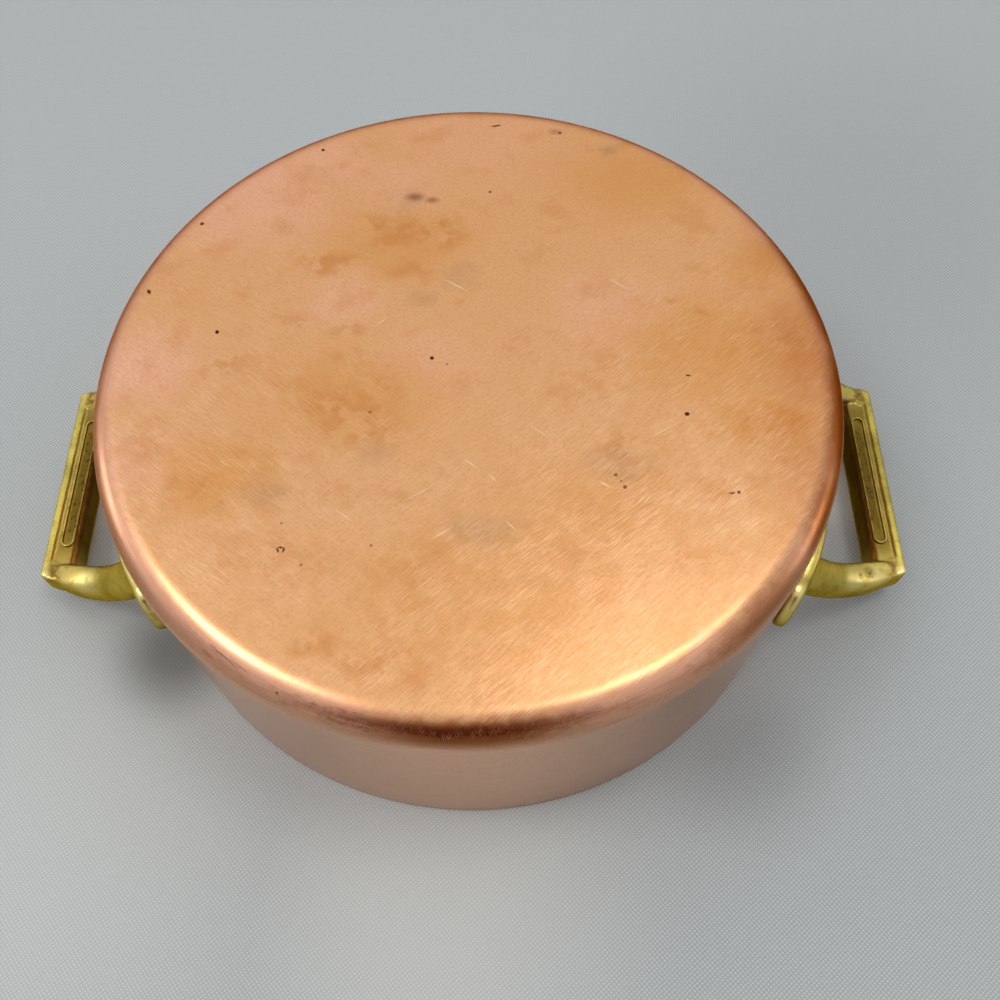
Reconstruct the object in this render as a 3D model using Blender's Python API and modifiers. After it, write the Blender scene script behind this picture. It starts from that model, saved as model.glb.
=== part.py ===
# Two-handled copper casserole: a turned copper pot with a steel lining, and on each side
# a cast brass handle whose two pads are riveted through the wall.
# Metres, +Z up. The origin is the middle of the base's underside, and the handles lie along X.

import math

import bpy
from mathutils import Matrix, Vector

mm = 0.001

# Pot
outer_radius = 100 * mm
pot_height = 77 * mm
copper_wall = 1.6 * mm
lining_wall = 0.6 * mm
base_bend_radius = 8 * mm  # outside bend between the base and the wall
rim_chamfer = 0.3 * mm  # along the copper's outer edge
lining_chamfer = 0.15 * mm  # along the lining's inner edge
fit_gap = 0.3 * mm  # clearance between pieces that touch on the real pot
turn_steps = 64
bend_steps = 5

# Grip bar of a handle
bar_length = 66.8 * mm
bar_width = 10 * mm
bar_height = 9 * mm
bar_reach = 31.4 * mm  # from the pot's wall to the bar's outer face
bar_below_rim = 6.2 * mm
bar_crown = 0.8 * mm  # rounding of the bar's top face
edge_bevel = 0.8 * mm
slope_start = 6.5 * mm  # height above the underside where the inner side starts to lean
slope_knee = 2.9 * mm  # height above the underside where it leans more
knee_lean = 0.9 * mm
slope_lean = 2 * mm
lip_width = 2.2 * mm  # raised lip along the outer edge of the bar's underside
lip_height = 0.9 * mm

# Raised frame of the bare name plate, on the underside of the bar
plate_length = 46 * mm
plate_width = 4.4 * mm
plate_rim = 0.7 * mm
plate_rise = 0.6 * mm
plate_from_edge = 5.9 * mm  # from the bar's outer face to the plate's middle line
plate_sink = 0.4 * mm  # how deep the frame is rooted in the bar
plate_end_steps = 8

# Arms, from the ends of the bar to the pads
arm_end_width = 5.4 * mm  # at the bar
arm_mid_width = 8.8 * mm
arm_root_width = 10.2 * mm  # at the pad
arm_root_height = 13.5 * mm
arm_root_rise = 2 * mm  # from the pad's middle up to the arm's root
arm_inset = 0.3 * mm  # how far the arm's first section lies inside the bar's skin
arm_swell = 0.35  # share of the arm's length in which it grows to its middle width
arm_end_squareness = 7.3  # power of the superellipse that is the arm's section
arm_root_squareness = 2.3
arm_sections = 9
arm_sides = 18

# Handles of the arm's curve, as shares of its way inwards, sideways and down
leave_in = 0.31
leave_aside = 0.29
leave_down = 0.03
arrive_in = 0.31
arrive_aside = 0.1
arrive_down = 0.53

# Pads that the rivets go through
pad_turn = math.radians(23.8)  # from the handle's middle line to a pad's middle
pad_drop = 37.3 * mm  # from the rim down to a pad's middle
pad_length = 37 * mm
pad_height = 25 * mm
pad_thickness = 4.2 * mm
pad_edge = 3.2 * mm
pad_squareness = 2.4
pad_sides = 24

# Rivets, one on each side of an arm's root
rivet_from_end = 6.5 * mm  # from a pad's end to its rivet
shank_radius = 2 * mm
outer_head_radius = 3.4 * mm
outer_head_depth = 1.3 * mm  # depth of the countersunk head
outer_head_crown = 0.45 * mm
inner_head_radius = 4.2 * mm
inner_head_height = 1.5 * mm
inner_head_edge = 0.3 * mm
rivet_steps = 12
crown_steps = 4
cutter_reach = 5 * mm

# Where the pieces meet
wall_seat = outer_radius + fit_gap  # the pads' inner face
lining_radius = outer_radius - copper_wall - fit_gap
inner_radius = lining_radius - lining_wall
lining_bottom = copper_wall + fit_gap
lining_bend_radius = base_bend_radius - copper_wall - fit_gap
bar_outer = outer_radius + bar_reach
bar_inner = bar_outer - bar_width
bar_top = pot_height - bar_below_rim
bar_bottom = bar_top - bar_height
bar_face = bar_bottom + lip_height  # the recessed face of the underside, behind the lip
pad_middle = pot_height - pad_drop
rivet_spacing = pad_length - 2 * rivet_from_end
rivet_turn = rivet_spacing / 2 / outer_radius
rivet_share = rivet_spacing / pad_length  # a rivet's place between a pad's middle and its end


def clear_scene():
    for obj in list(bpy.data.objects):
        bpy.data.objects.remove(obj, do_unlink=True)


def make_material(name, color, roughness):
    material = bpy.data.materials.new(name)
    material.use_nodes = True
    shader = material.node_tree.nodes["Principled BSDF"]
    shader.inputs["Base Color"].default_value = (*color, 1)
    shader.inputs["Metallic"].default_value = 1
    shader.inputs["Roughness"].default_value = roughness
    return material


def make_collection(name):
    collection = bpy.data.collections.new(name)
    bpy.context.scene.collection.children.link(collection)
    return collection


def add_object(name, data, collection, material=None, matrix=None):
    obj = bpy.data.objects.new(name, data)
    collection.objects.link(obj)
    if material and not data.materials:
        data.materials.append(material)
    if matrix:
        obj.matrix_world = matrix
    return obj


def shade_round(mesh, angle=35):
    mesh.shade_smooth()
    mesh.set_sharp_from_angle(angle=math.radians(angle))


def arc(middle_x, middle_z, radius, start, end, steps):
    # Points of an arc in the XZ plane, angles in degrees from +X towards +Z
    points = []
    for i in range(steps + 1):
        angle = math.radians(start + (end - start) * i / steps)
        points.append((middle_x + radius * math.cos(angle), middle_z + radius * math.sin(angle)))
    return points


def turned(name, profile, steps, collection, material=None):
    # The profile runs down its outer side, and its two ends lie on the axis.
    mesh = bpy.data.meshes.new(name)
    edges = [(i, i + 1) for i in range(len(profile) - 1)]
    mesh.from_pydata([(x, 0, z) for x, z in profile], edges, [])
    obj = add_object(name, mesh, collection, material)
    screw = obj.modifiers.new("turn", "SCREW")
    screw.steps = steps
    screw.render_steps = steps
    screw.use_merge_vertices = True
    screw.merge_threshold = 0.00001
    return obj


def baked(obj):
    # A mesh of what the object's modifiers make of it, in world space; the object is removed.
    bpy.context.view_layer.update()
    graph = bpy.context.evaluated_depsgraph_get()
    mesh = bpy.data.meshes.new_from_object(obj.evaluated_get(graph))
    mesh.transform(obj.matrix_world)
    bpy.data.objects.remove(obj, do_unlink=True)
    return mesh


def prism(name, outlines, half_depth, matrix, collection):
    # Flat outlines in local XY, filled and pushed out both ways along local Z
    curve = bpy.data.curves.new(name, "CURVE")
    curve.dimensions = "2D"
    curve.fill_mode = "BOTH"
    curve.extrude = half_depth
    for outline in outlines:
        spline = curve.splines.new("POLY")
        spline.points.add(len(outline) - 1)
        spline.use_cyclic_u = True
        for point, (x, y) in zip(spline.points, outline):
            point.co = (x, y, 0, 1)
    solid = add_object(name, baked(add_object(name, curve, collection, matrix=matrix)), collection)
    weld = solid.modifiers.new("weld", "WELD")
    weld.merge_threshold = 0.00001
    return solid


def loft(name, rings, collection):
    # A closed skin over rings of equally many points, with a face on each end
    count = len(rings[0])
    faces = [tuple(reversed(range(count)))]
    for k in range(len(rings) - 1):
        for i in range(count):
            j = (i + 1) % count
            faces.append((k * count + i, k * count + j, (k + 1) * count + j, (k + 1) * count + i))
    last = (len(rings) - 1) * count
    faces.append(tuple(range(last, last + count)))
    mesh = bpy.data.meshes.new(name)
    mesh.from_pydata([point for ring in rings for point in ring], [], faces)
    return add_object(name, mesh, collection)


def add_boolean(obj, other, operation):
    boolean = obj.modifiers.new(operation.lower(), "BOOLEAN")
    boolean.operation = operation
    boolean.solver = "EXACT"
    if isinstance(other, bpy.types.Collection):
        boolean.operand_type = "COLLECTION"
        boolean.collection = other
    else:
        boolean.object = other


def superellipse(angle, half_width, half_height, power):
    cosine = math.cos(angle)
    sine = math.sin(angle)
    return (
        half_width * math.copysign(abs(cosine) ** (2 / power), cosine),
        half_height * math.copysign(abs(sine) ** (2 / power), sine),
    )


def smooth(t):
    return t * t * (3 - 2 * t)


def pot_layer(name, outside, bottom, wall, bend, rim, collection, material):
    # One layer of the pot, from the middle of its floor over the rim to the middle of its underside
    inner_bend = bend - wall
    floor = bottom + wall
    profile = [(0, floor)]
    profile += arc(outside - bend, bottom + bend, inner_bend, -90, 0, bend_steps)
    profile += rim
    profile += arc(outside - bend, bottom + bend, bend, 0, -90, bend_steps)
    profile.append((0, bottom))
    return turned(name, profile, turn_steps, collection, material)


def copper_rim():
    return [
        (outer_radius - copper_wall, pot_height),
        (outer_radius - rim_chamfer, pot_height),
        (outer_radius, pot_height - rim_chamfer),
    ]


def lining_rim():
    return [
        (inner_radius, pot_height - lining_chamfer),
        (inner_radius + lining_chamfer, pot_height),
        (lining_radius, pot_height),
    ]


def bar_outline():
    # The bar's section seen along -Y: X outwards from the pot, Y up
    lip_inner = bar_outer - lip_width
    return [
        (bar_outer - edge_bevel, bar_bottom),
        (bar_outer, bar_bottom + edge_bevel),
        (bar_outer, bar_top - bar_crown),
        (bar_outer - bar_crown, bar_top),
        (bar_inner + 2 * bar_crown, bar_top),
        (bar_inner + bar_crown / 2, bar_top - bar_crown / 2),
        (bar_inner, bar_bottom + slope_start),
        (bar_inner + knee_lean, bar_bottom + slope_knee),
        (bar_inner + slope_lean, bar_face + edge_bevel / 3),
        (bar_inner + slope_lean + edge_bevel, bar_face),
        (lip_inner - lip_height / 3, bar_face),
        (lip_inner, bar_bottom),
    ]


def stadium(half_length, half_width):
    # A long outline with round ends, along Y
    straight = half_length - half_width
    upper = arc(0, straight, half_width, 0, 180, plate_end_steps)
    lower = arc(0, -straight, half_width, 180, 360, plate_end_steps)
    return upper + lower


def arm_curve():
    # The four points of the curve through the arm's middle, from the bar's end into the pad
    start = Vector((
        bar_outer - arm_inset,
        bar_length / 2 - arm_inset - arm_end_width / 2,
        (bar_top + bar_bottom) / 2,
    ))
    root_reach = wall_seat + pad_thickness / 2
    root = Vector((
        root_reach * math.cos(pad_turn),
        root_reach * math.sin(pad_turn),
        pad_middle + arm_root_rise,
    ))
    way = root - start
    leave = start + Vector((leave_in * way.x, leave_aside * way.y, leave_down * way.z))
    arrive = root - Vector((arrive_in * way.x, arrive_aside * way.y, arrive_down * way.z))
    return start, leave, arrive, root


def arm_rings(side):
    start, leave, arrive, root = arm_curve()
    end_height = bar_height - 2 * arm_inset
    rings = []
    for k in range(arm_sections):
        t = k / (arm_sections - 1)
        middle = start * (1 - t) ** 3 + leave * 3 * t * (1 - t) ** 2
        middle += arrive * 3 * t * t * (1 - t) + root * t ** 3
        turn = pad_turn * smooth(t)
        across = Vector((-math.sin(turn), math.cos(turn), 0))
        width = arm_end_width + (arm_mid_width - arm_end_width) * smooth(min(1, t / arm_swell))
        width += (arm_root_width - arm_mid_width) * t ** 3
        height = end_height + (arm_root_height - end_height) * smooth(t)
        squareness = arm_root_squareness
        squareness += (arm_end_squareness - arm_root_squareness) * (1 - t) ** 3
        ring = []
        for i in range(arm_sides):
            angle = math.tau * (i + 0.5) / arm_sides
            aside, up = superellipse(angle, width / 2, height / 2, squareness)
            point = middle + across * aside + Vector((0, 0, up))
            ring.append((point.x, side * point.y, point.z))
        rings.append(ring if side < 0 else ring[::-1])
    return rings


def pad_rise(share):
    # Thickness of a pad, from its middle (share 0) to its outline (share 1)
    return pad_edge + (pad_thickness - pad_edge) * (1 - share ** 3)


def pad_rings(side):
    # Rings that grow over the outer face, turn round the edge and shrink over the inner face
    layers = [(share, pad_rise(share)) for share in (0.22, 0.45, 0.66, 0.83, 0.95)]
    layers += [(share, pad_edge * depth) for share, depth in ((0.99, 0.75), (1, 0.45), (0.995, 0.15))]
    layers += [(share, 0) for share in (0.98, 0.8, 0.55, 0.25)]
    rings = []
    for share, rise in layers:
        ring = []
        for i in range(pad_sides):
            angle = math.tau * i / pad_sides
            along, up = superellipse(angle, share * pad_length / 2, share * pad_height / 2, pad_squareness)
            turn = side * (pad_turn + along / outer_radius)
            reach = wall_seat + rise
            ring.append((reach * math.cos(turn), reach * math.sin(turn), pad_middle + up))
        rings.append(ring if side > 0 else ring[::-1])
    return rings


def head_plane():
    # Distance from the pot's axis to the rim of the countersunk head
    return wall_seat + pad_rise(rivet_share) - fit_gap


def rivet_profile():
    # Local Z is the distance from the pot's axis. The inner head is flat behind and clears
    # the round inside of the pot at its rim.
    plane = head_plane()
    seat = math.sqrt(inner_radius ** 2 - inner_head_radius ** 2) - fit_gap
    dome_height = inner_head_height - inner_head_edge
    crown = []
    dome = []
    for i in range(crown_steps + 1):
        angle = math.pi / 2 * i / crown_steps
        crown.append((outer_head_radius * math.sin(angle), plane + outer_head_crown * math.cos(angle)))
        dome.append((
            inner_head_radius * math.cos(angle),
            seat - inner_head_edge - dome_height * math.sin(angle),
        ))
    neck = [(shank_radius, plane - outer_head_depth), (shank_radius, seat), (inner_head_radius, seat)]
    return crown + neck + dome


def cutter_profile():
    # The hole for a rivet through pad and wall, with its countersink
    plane = head_plane()
    bore = shank_radius + fit_gap
    sink = outer_head_radius + fit_gap
    return [
        (0, plane + cutter_reach),
        (sink, plane + cutter_reach),
        (sink, plane),
        (bore, plane - outer_head_depth),
        (bore, inner_radius - cutter_reach),
        (0, inner_radius - cutter_reach),
    ]


def rivet_places():
    # Name and placing of each rivet, which stands along +Z at the pot's axis before it is placed
    lay_down = Matrix.Rotation(math.radians(90), 4, "Y")
    lift = Matrix.Translation((0, 0, pad_middle))
    places = []
    for hand, base_turn in (("right", 0), ("left", math.pi)):
        for end, side in (("front", -1), ("rear", 1)):
            for spot, offset in (("inner", -rivet_turn), ("outer", rivet_turn)):
                across = side if hand == "right" else -side
                turn = base_turn + across * (pad_turn + offset)
                name = f"{hand}_{end}_{spot}_rivet"
                places.append((name, hand, lift @ Matrix.Rotation(turn, 4, "Z") @ lay_down))
    return places


def make_cutters():
    collections = {"right": make_collection("right_cutters"), "left": make_collection("left_cutters")}
    mesh = baked(turned("rivet_hole", cutter_profile(), rivet_steps, collections["right"]))
    for name, hand, place in rivet_places():
        cutter = add_object(f"{name}_hole", mesh, collections[hand], matrix=place)
        cutter.hide_render = True
        cutter.display_type = "WIRE"
    return collections


def make_handle_mesh(cutters, helpers):
    # Drawn at +X and cast in one piece: bar, plate frame, two arms and two pads
    along_y = Matrix.Rotation(math.radians(90), 4, "X")
    handle = prism("bar", [bar_outline()], bar_length / 2, along_y, helpers)
    frame_outlines = [
        stadium(plate_length / 2, plate_width / 2),
        stadium(plate_length / 2 - plate_rim, plate_width / 2 - plate_rim),
    ]
    frame_middle = Vector((bar_outer - plate_from_edge, 0, bar_face + (plate_sink - plate_rise) / 2))
    frame_depth = (plate_sink + plate_rise) / 2
    pieces = [prism("plate_frame", frame_outlines, frame_depth, Matrix.Translation(frame_middle), helpers)]
    for side in (-1, 1):
        pieces.append(loft("arm", arm_rings(side), helpers))
        pieces.append(loft("pad", pad_rings(side), helpers))
    for piece in pieces:
        add_boolean(handle, piece, "UNION")
    add_boolean(handle, cutters, "DIFFERENCE")
    mesh = baked(handle)
    for piece in pieces:
        bpy.data.objects.remove(piece, do_unlink=True)
    shade_round(mesh)
    return mesh


def main():
    clear_scene()
    copper = make_material("satin_copper", (0.80, 0.42, 0.26), 0.32)
    steel = make_material("stainless_steel", (0.62, 0.61, 0.58), 0.3)
    brass = make_material("cast_brass", (0.62, 0.45, 0.14), 0.38)
    casserole = make_collection("buffet_casserole")
    helpers = make_collection("helpers")
    cutters = make_cutters()

    copper_body = pot_layer(
        "copper_body", outer_radius, 0, copper_wall, base_bend_radius, copper_rim(), casserole, copper
    )
    steel_lining = pot_layer(
        "steel_lining", lining_radius, lining_bottom, lining_wall, lining_bend_radius, lining_rim(),
        casserole, steel,
    )
    for layer in (copper_body, steel_lining):
        for cutter_set in cutters.values():
            add_boolean(layer, cutter_set, "DIFFERENCE")

    handle_mesh = make_handle_mesh(cutters["right"], helpers)
    half_turn = Matrix.Rotation(math.pi, 4, "Z")
    pieces = [copper_body, steel_lining]
    pieces.append(add_object("right_handle", handle_mesh, casserole, brass))
    pieces.append(add_object("left_handle", handle_mesh, casserole, brass, half_turn))

    rivet_mesh = baked(turned("rivet", rivet_profile(), rivet_steps, helpers))
    shade_round(rivet_mesh)
    for name, hand, place in rivet_places():
        pieces.append(add_object(name, rivet_mesh, casserole, steel, place))

    root = add_object("casserole_root", None, casserole)
    for piece in pieces:
        piece.parent = root


main()
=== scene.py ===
# Buffet casserole: a satin copper pot with a bonded steel lining and two cast brass handles.
# It stands upright at the origin, base down. The photo shows it turned over on its rim,
# so the photo's camera looks at the base from below the floor.

import math

import bmesh
import bpy
from mathutils import Matrix, Vector


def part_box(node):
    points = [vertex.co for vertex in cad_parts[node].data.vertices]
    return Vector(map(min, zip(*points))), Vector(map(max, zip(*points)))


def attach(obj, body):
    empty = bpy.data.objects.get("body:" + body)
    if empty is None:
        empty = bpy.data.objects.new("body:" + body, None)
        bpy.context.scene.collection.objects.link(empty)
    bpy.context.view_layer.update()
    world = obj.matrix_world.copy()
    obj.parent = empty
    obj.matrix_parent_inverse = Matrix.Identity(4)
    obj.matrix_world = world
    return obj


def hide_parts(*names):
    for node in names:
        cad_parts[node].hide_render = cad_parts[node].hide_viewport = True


mm = 0.001
near = 0.01 * mm  # slack where faces, edges and points are picked by place

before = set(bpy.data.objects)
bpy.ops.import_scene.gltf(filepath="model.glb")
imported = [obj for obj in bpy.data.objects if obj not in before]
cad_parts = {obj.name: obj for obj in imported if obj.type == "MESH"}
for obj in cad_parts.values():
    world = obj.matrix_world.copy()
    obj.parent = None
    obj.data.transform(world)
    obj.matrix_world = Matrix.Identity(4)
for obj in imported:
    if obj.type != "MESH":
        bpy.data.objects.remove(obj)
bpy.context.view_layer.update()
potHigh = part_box("copper_body")[1]
potRadius = potHigh.x
potHeight = potHigh.z
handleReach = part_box("right_handle")[1].x
print("frame loaded, pot radius", round(potRadius / mm, 1), "mm")


def deselectAll():
    bpy.ops.object.select_all(action="DESELECT")


def selectOnly(*pieces):
    deselectAll()
    for piece in pieces:
        piece.select_set(True)
    bpy.context.view_layer.objects.active = pieces[0]


def applyPlace():
    bpy.ops.object.transform_apply(location=True, rotation=True, scale=True)


def startPiece(name):
    # the primitive or copy just added becomes a piece with its place in its mesh
    piece = bpy.context.object
    piece.name = name
    piece.data.name = name
    applyPlace()
    return piece


def startEditing():
    bpy.ops.object.mode_set(mode="EDIT")
    bpy.ops.mesh.select_all(action="SELECT")


def endEditing():
    bpy.ops.object.mode_set(mode="OBJECT")


def faceOutwards():
    # edit mode: every face made to point out of the piece
    bpy.ops.mesh.select_all(action="SELECT")
    bpy.ops.mesh.normals_make_consistent(inside=False)


def growRings(rings, seat, way):
    # edit mode: the selected face is grown ring by ring along way, an axis, from the seat on. A
    # ring is its share of the first outline, and mm above the seat.
    share, height = rings[0]
    for newShare, newHeight in rings[1:]:
        bpy.ops.mesh.extrude_region_move(TRANSFORM_OT_translate={"value": way * (newHeight - height) * mm})
        growth = [1 if part else newShare / share for part in way]
        bpy.ops.transform.resize(value=growth, center_override=seat + way * newHeight * mm)
        share, height = newShare, newHeight


def pick(piece, kind, test):
    # edit mode: only what passes the test stays selected. The test is given a face's middle and
    # normal, an edge's two points or a point.
    bpy.ops.mesh.select_mode(type=kind)
    mesh = bmesh.from_edit_mesh(piece.data)
    parts, given = {
        "FACE": (mesh.faces, lambda face: (face.calc_center_median(), face.normal)),
        "EDGE": (mesh.edges, lambda edge: edge.verts),
        "VERT": (mesh.verts, lambda point: [point]),
    }[kind]
    for part in parts:
        part.select_set(False)
    for part in parts:
        if test(*given(part)):
            part.select_set(True)
    bmesh.update_edit_mesh(piece.data)


def cutAt(point, normal):
    # edit mode: a new edge line right through the piece
    bpy.ops.mesh.select_all(action="SELECT")
    bpy.ops.mesh.bisect(plane_co=point, plane_no=normal)


def addModifier(piece, kind, **settings):
    modifier = piece.modifiers.new(kind.lower(), kind)
    for name, value in settings.items():
        setattr(modifier, name, value)
    selectOnly(piece)
    bpy.ops.object.modifier_apply(modifier=modifier.name)


def joinPieces(pieces, name):
    selectOnly(*pieces)
    bpy.ops.object.join()
    pieces[0].name = name
    pieces[0].data.name = name
    return pieces[0]


def finishPiece(piece, material, node):
    piece.data.materials.clear()
    piece.data.materials.append(material)
    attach(piece, "root")
    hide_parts(node)


# Materials

def linearColor(hexText):
    channels = []
    for i in (1, 3, 5):
        value = int(hexText[i:i + 2], 16) / 255
        channels.append(value / 12.92 if value <= 0.04045 else ((value + 0.055) / 1.055) ** 2.4)
    return (*channels, 1)


def addNode(tree, kind, settings, inputs):
    # inputs are keyed by socket name or number; a socket is linked, anything else is set. It gives
    # back the node's outputs.
    node = tree.nodes.new("ShaderNode" + kind)
    for name, value in settings.items():
        setattr(node, name, value)
    for key, value in inputs.items():
        if isinstance(value, bpy.types.NodeSocket):
            tree.links.new(value, node.inputs[key])
        else:
            node.inputs[key].default_value = value
    return node.outputs


def joinMasks(tree, operation, *masks):
    # several masks made one: MULTIPLY keeps where all of them are, MAXIMUM the strongest
    total = masks[0]
    for mask in masks[1:]:
        total = addNode(tree, "Math", {"operation": operation}, {0: total, 1: mask})[0]
    return total


def startMetal(name, roughness, edgeColor="#ffffff"):
    # also gives the place on the piece, by which its patterns are drawn
    material = bpy.data.materials.new(name)
    material.use_nodes = True
    tree = material.node_tree
    shader = tree.nodes["Principled BSDF"]
    shader.inputs["Metallic"].default_value = 1
    shader.inputs["Roughness"].default_value = roughness
    shader.inputs["Specular Tint"].default_value = linearColor(edgeColor)
    return material, tree, shader, addNode(tree, "TexCoord", {}, {})["Object"]


def addMottling(tree, finish, patches):
    # a finish's roughness, higher in its dull patches
    return addNode(tree, "Math", {"operation": "MULTIPLY_ADD"}, {
        0: patches, 1: finish["mottling"], 2: finish["roughness"],
    })[0]


def finishMetal(tree, shader, color, rough, height, depth):
    # height from 0 to 1 as a mask, depth in m
    bump = addNode(tree, "Bump", {}, {"Strength": 1.0, "Distance": depth, "Height": height})
    tree.links.new(color, shader.inputs["Base Color"])
    tree.links.new(rough, shader.inputs["Roughness"])
    tree.links.new(bump[0], shader.inputs["Normal"])


def addClouds(tree, place, size, low, high, detail=3.0, roughness=0.55):
    # noise of a size in mm, as a mask from 0 below low to 1 above high
    noise = addNode(tree, "TexNoise", {}, {
        "Vector": place, "Scale": 1 / (size * mm), "Detail": detail, "Roughness": roughness,
    })[0]
    return addNode(tree, "MapRange", {"interpolation_type": "SMOOTHSTEP"}, {
        "Value": noise, "From Min": low, "From Max": high,
    })[0]


def addStreaks(tree, place, turn, length, width, low, high):
    # the same drawn out along one direction: length and width in mm, turn in degrees
    drawn = addNode(tree, "Mapping", {"vector_type": "TEXTURE"}, {
        "Vector": place, "Rotation": (0, 0, math.radians(turn)),
        "Scale": (length * mm, width * mm, width * mm),
    })[0]
    return addClouds(tree, drawn, 1 / mm, low, high, 1.0, 0.6)


def addWeave(tree, place, turn, pitch):
    # rows of little bumps where threads cross: pitch in mm, turn in degrees. A wave of scale 1
    # comes back every pi / 10.
    rows = []
    for side in (turn, turn + 90):
        turned = addNode(tree, "Mapping", {"vector_type": "TEXTURE"}, {
            "Vector": place, "Rotation": (0, 0, math.radians(side)),
        })[0]
        rows.append(addNode(tree, "TexWave", {}, {
            "Vector": turned, "Scale": math.pi / 10 / (pitch * mm), "Distortion": 1.5,
            "Detail": 1.0, "Detail Scale": 0.3,
        })["Fac"])
    return joinMasks(tree, "MULTIPLY", *rows)


def addSpots(tree, place, squash, solid, spots):
    # single spots, their depth a share (squash) of their width: full inside the solid share of
    # their radius, fading out to their edge
    scaled = addNode(tree, "VectorMath", {"operation": "MULTIPLY"}, {
        0: place, 1: (1 / mm, 1 / mm / squash, 1 / mm),
    })[0]
    masks = []
    for x, y, z, radius, strength in spots:
        far = addNode(tree, "VectorMath", {"operation": "DISTANCE"}, {
            0: scaled, 1: (x, y / squash, z),
        })["Value"]
        masks.append(addNode(tree, "MapRange", {"interpolation_type": "SMOOTHSTEP"}, {
            "Value": far, "From Min": radius * solid, "From Max": radius,
            "To Min": strength, "To Max": 0.0,
        })[0])
    return joinMasks(tree, "MAXIMUM", *masks)


def addStrokes(tree, place, solid, strokes):
    # single scratches, as thin turned ellipses
    masks = []
    for x, y, z, turn, length, width, strength in strokes:
        off = addNode(tree, "VectorMath", {"operation": "SUBTRACT"}, {
            0: place, 1: (x * mm, y * mm, z * mm),
        })[0]
        cos, sin = math.cos(math.radians(turn)), math.sin(math.radians(turn))
        shares = {}
        for axis, (way, half) in enumerate((
            ((cos, sin, 0), length), ((-sin, cos, 0), width), ((0, 0, 1), strokeDepth),
        )):
            shares[axis] = addNode(tree, "VectorMath", {"operation": "DOT_PRODUCT"}, {
                0: off, 1: tuple(value / half / mm for value in way),
            })["Value"]
        inside = addNode(tree, "CombineXYZ", {}, shares)[0]
        far = addNode(tree, "VectorMath", {"operation": "LENGTH"}, {0: inside})["Value"]
        masks.append(addNode(tree, "MapRange", {}, {
            "Value": far, "From Min": solid, "From Max": 1.0, "To Min": strength, "To Max": 0.0,
        })[0])
    return joinMasks(tree, "MAXIMUM", *masks)


def addLayers(tree, finish, color, layers):
    # lays a finish's tones over a colour, each by its mask and by its share, where it has one
    for mask, tone, *shares in layers:
        mask = joinMasks(tree, "MULTIPLY", mask, *(finish[share] for share in shares))
        color = addNode(tree, "Mix", {"data_type": "RGBA"}, {
            0: mask, 6: color, 7: linearColor(finish[tone]),
        })[2]
    return color


def wander(tree, place, size, reach):
    # the place moved about by noise, so edges of marks run uneven; both in mm
    noise = addNode(tree, "TexNoise", {}, {
        "Vector": place, "Scale": 1 / (size * mm), "Detail": 3.0,
    })["Color"]
    moved = addNode(tree, "VectorMath", {"operation": "MULTIPLY_ADD"}, {
        0: noise, 1: (2 * reach * mm,) * 3, 2: place,
    })[0]
    return addNode(tree, "VectorMath", {"operation": "SUBTRACT"}, {
        0: moved, 1: (reach * mm,) * 3,
    })[0]


# Stage: the photo's camera is below the floor, other views come from above it. The floor shows
# only to rays that have crossed fewer than two see-through sheets and the table under the rim
# only to rays that have crossed two, so each view has one surface under the pot.

stageSetup = {
    "size": 40.0,
    "gap": 0.2 * mm,  # floor and table stay this clear of the pot
    "sheetGap": 0.05 * mm,
    "cloth": "#9da3a4",
    "thread": "#a5abac",
    "crossing": "#bdc4c5",
    "pitch": 0.95,  # mm from thread to thread
    "weaveTurn": 50,
    "threadTurn": 8,
    "threadShare": 0.5,
    "lit": "#e2e4e0",  # where the photo's cloth gets more light
    "shaded": "#5f6260",
    # spots on the cloth, in mm: x, y, z, radius, strength
    "litSpots": (
        (10, -125, 77, 75, 0.3), (125, -110, 77, 110, 0.22),
        (121, 4, 77, 20, 0.35), (-123, 3, 77, 20, 0.45),
    ),
    "shadedSpots": (
        (-80, -86, 77, 34, 0.25), (92, -52, 77, 26, 0.75), (-150, 130, 77, 150, 0.15),
    ),
    "shadeBehind": ((0, 42, 77, 120, 0.85),),  # the pot's own shade on the cloth
}

worldSetup = {
    "high": "#f1f2f5",
    "low": "#d2d3d5",
    "fullHeight": 0.8,  # how far up and down the colour goes on changing
    "seen": "#eceef0",
    "shade": "#6e3614",  # the dark side of the room
    "shadeDirection": (0.06, -0.86, -0.50),
    "shadeEdge": (0.86, 0.96),  # cosines of the angles where it begins and is full
    "lean": (0.06, 0.13, 0),  # the room is a little brighter to the right and behind
}


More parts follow.
